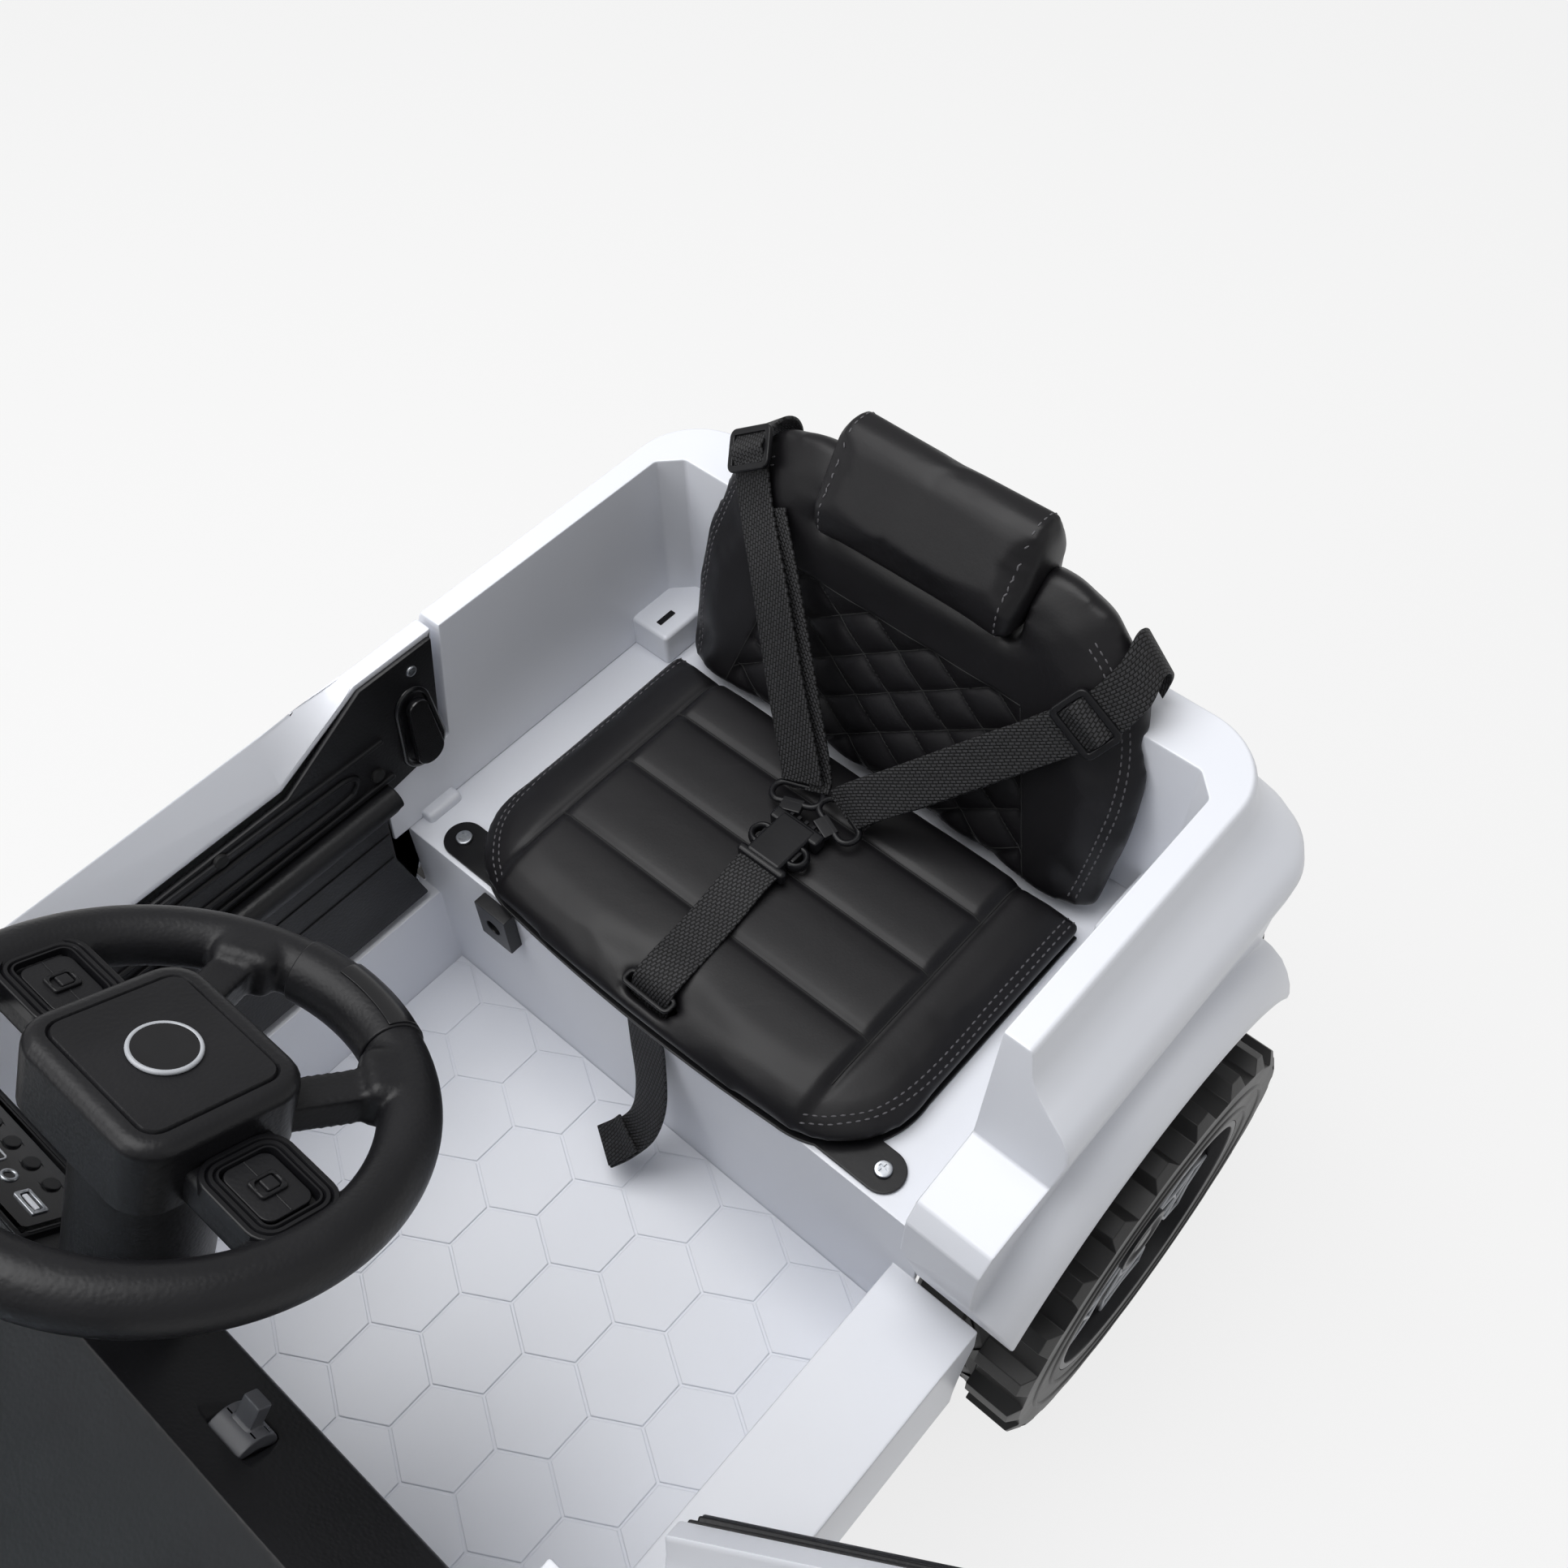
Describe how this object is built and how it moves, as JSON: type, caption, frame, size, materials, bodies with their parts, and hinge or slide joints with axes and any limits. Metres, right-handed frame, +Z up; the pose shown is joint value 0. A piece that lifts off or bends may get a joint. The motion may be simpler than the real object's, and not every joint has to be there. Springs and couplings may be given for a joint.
{
  "type": "electric ride-on car",
  "caption": "Open-topped electric ride-on car for a child, with a padded seat and harness, hinged doors, a linked steering wheel and driven rear wheels.",
  "frame": {"origin": "on the ground, midway between the front and rear axles, on the car's centre plane", "axes": "+X to the car's left, +Y to the rear, +Z up"},
  "size_m": [0.762, 1.086, 0.6024],
  "materials": {
    "white_plastic": "moulded gloss white",
    "black_plastic": "fine grained black",
    "gloss_black": "smooth black",
    "grey_plastic": "satin grey",
    "key_plastic": "satin silver paint",
    "hub_plastic": "satin dark grey",
    "tyre": "matt moulded tread",
    "steel": "zinc plated",
    "seat_leather": "satin black artificial leather",
    "webbing": "woven black webbing",
    "clear_lens": "clear lens",
    "red_lens": "red lens",
    "clear_pane": "clear sheet"
  },
  "bodies": {
    "chassis": {"floor_tub": "white_plastic", "rear_body": "white_plastic", "front_body": "white_plastic", "hood_panel": "white_plastic", "grille": "black_plastic", "front_bumper": "black_plastic", "rear_bumper": "black_plastic", "headlights": "clear_lens", "tail_lights": "red_lens", "windscreen_frame": "black_plastic", "windscreen_pane": "clear_pane", "dashboard": "black_plastic", "radio_panel": "gloss_black", "seat_base": "black_plastic", "seat_screws": "steel", "seat_cushion": "seat_leather", "seat_back": "seat_leather", "headrest": "seat_leather", "shoulder_strap_right": "webbing", "shoulder_strap_left": "webbing", "crotch_strap": "webbing", "strap_sliders": "gloss_black", "buckle_body": "gloss_black", "buckle_tongues": "gloss_black", "battery": "black_plastic", "control_box": "black_plastic", "charge_socket": "black_plastic", "rear_axle": "steel", "gear_motor_left": "black_plastic", "gear_motor_right": "black_plastic", "front_axle_beam": "steel"},
    "steering": {"steering_rim": "black_plastic", "steering_hub_cover": "gloss_black", "steering_column": "steel"},
    "horn_left": {"horn_button_left": "grey_plastic"},
    "horn_right": {"horn_button_right": "grey_plastic"},
    "steering_link": {"tie_rod": "steel"},
    "knuckle_left_body": {"knuckle_left": "steel"},
    "knuckle_right_body": {"knuckle_right": "steel"},
    "wheel_front_left": {"tyre_front_left": "tyre", "hub_front_left": "hub_plastic"},
    "wheel_front_right": {"tyre_front_right": "tyre", "hub_front_right": "hub_plastic"},
    "wheel_rear_left": {"tyre_rear_left": "tyre", "hub_rear_left": "hub_plastic", "drive_gear_left": "grey_plastic"},
    "pinion_left": {"motor_pinion_left": "steel"},
    "door_left": {"door_shell_left": "white_plastic", "door_trim_left": "black_plastic"},
    "latch_left": {"door_latch_left": "gloss_black"},
    "wheel_rear_right": {"tyre_rear_right": "tyre", "hub_rear_right": "hub_plastic", "drive_gear_right": "grey_plastic"},
    "pinion_right": {"motor_pinion_right": "steel"},
    "door_right": {"door_shell_right": "white_plastic", "door_trim_right": "black_plastic"},
    "latch_right": {"door_latch_right": "gloss_black"},
    "pedal_body": {"pedal": "black_plastic"},
    "selector": {"drive_selector": "grey_plastic"},
    "keypad": {"radio_keys": "key_plastic"}
  },
  "joints": [
    {"name": "steering_turn", "type": "hinge", "parent": "chassis", "child": "steering", "pos_m": [0, -0.058, 0.544], "axis": [0, 0.4664, 0.8846], "range_deg": [-40, 40]},
    {"name": "link_slide", "type": "slide", "parent": "chassis", "child": "steering_link", "axis": [1, 0, 0], "range_m": [-0.0156, 0.0156]},
    {"name": "knuckle_left_turn", "type": "hinge", "parent": "chassis", "child": "knuckle_left_body", "pos_m": [0.168, -0.31, 0.14], "axis": [0, 0, 1], "range_deg": [-20.5, 20.5]},
    {"name": "knuckle_right_turn", "type": "hinge", "parent": "chassis", "child": "knuckle_right_body", "pos_m": [-0.168, -0.31, 0.14], "axis": [0, 0, 1], "range_deg": [-20.5, 20.5]},
    {"name": "wheel_front_left_spin", "type": "hinge", "parent": "knuckle_left_body", "child": "wheel_front_left", "pos_m": [0.238, -0.31, 0.14], "axis": [1, 0, 0], "continuous": true},
    {"name": "wheel_front_right_spin", "type": "hinge", "parent": "knuckle_right_body", "child": "wheel_front_right", "pos_m": [-0.238, -0.31, 0.14], "axis": [1, 0, 0], "continuous": true},
    {"name": "wheel_rear_left_spin", "type": "hinge", "parent": "chassis", "child": "wheel_rear_left", "pos_m": [0.238, 0.31, 0.14], "axis": [1, 0, 0], "continuous": true},
    {"name": "pinion_left_spin", "type": "hinge", "parent": "chassis", "child": "pinion_left", "pos_m": [0.16, 0.265, 0.14], "axis": [1, 0, 0], "continuous": true},
    {"name": "wheel_rear_right_spin", "type": "hinge", "parent": "chassis", "child": "wheel_rear_right", "pos_m": [-0.238, 0.31, 0.14], "axis": [1, 0, 0], "continuous": true},
    {"name": "pinion_right_spin", "type": "hinge", "parent": "chassis", "child": "pinion_right", "pos_m": [-0.16, 0.265, 0.14], "axis": [1, 0, 0], "continuous": true},
    {"name": "door_left_swing", "type": "hinge", "parent": "chassis", "child": "door_left", "pos_m": [0.24, -0.058, 0.3], "axis": [0, 0, 1], "range_deg": [0, 60]},
    {"name": "door_right_swing", "type": "hinge", "parent": "chassis", "child": "door_right", "pos_m": [-0.24, -0.058, 0.3], "axis": [0, 0, 1], "range_deg": [0, 60]},
    {"name": "latch_left_turn", "type": "hinge", "parent": "door_left", "child": "latch_left", "pos_m": [0.43995, 0.10767, 0.351], "axis": [0.5, -0.866, 0], "range_deg": [-75, 0]},
    {"name": "latch_right_turn", "type": "hinge", "parent": "door_right", "child": "latch_right", "pos_m": [-0.1965, 0.198, 0.351], "axis": [1, 0, 0], "range_deg": [-75, 0]},
    {"name": "horn_left_press", "type": "slide", "parent": "steering", "child": "horn_left", "axis": [0, -0.4664, -0.8846], "range_m": [0, 0.002], "stiffness_N_per_m": 400},
    {"name": "horn_right_press", "type": "slide", "parent": "steering", "child": "horn_right", "axis": [0, -0.4664, -0.8846], "range_m": [0, 0.002], "stiffness_N_per_m": 400},
    {"name": "pedal_press", "type": "hinge", "parent": "chassis", "child": "pedal_body", "pos_m": [-0.062, -0.152, 0.159], "axis": [1, 0, 0], "range_deg": [0, 12], "stiffness_Nm_per_rad": 3},
    {"name": "selector_rock", "type": "hinge", "parent": "chassis", "child": "selector", "pos_m": [0.086, -0.11834, 0.45306], "axis": [1, 0, 0], "range_deg": [-12, 12]},
    {"name": "keypad_press", "type": "slide", "parent": "chassis", "child": "keypad", "axis": [0, -0.6979, -0.7162], "range_m": [0, 0.001], "stiffness_N_per_m": 600}
  ],
  "couplings": [
    {"joint": "link_slide", "follows": "steering_turn", "m_per_rad": -0.02204},
    {"joint": "knuckle_left_turn", "follows": "steering_turn", "ratio": 0.5},
    {"joint": "knuckle_right_turn", "follows": "steering_turn", "ratio": 0.5},
    {"joint": "pinion_left_spin", "follows": "wheel_rear_left_spin", "ratio": -5},
    {"joint": "pinion_right_spin", "follows": "wheel_rear_right_spin", "ratio": -5}
  ]
}
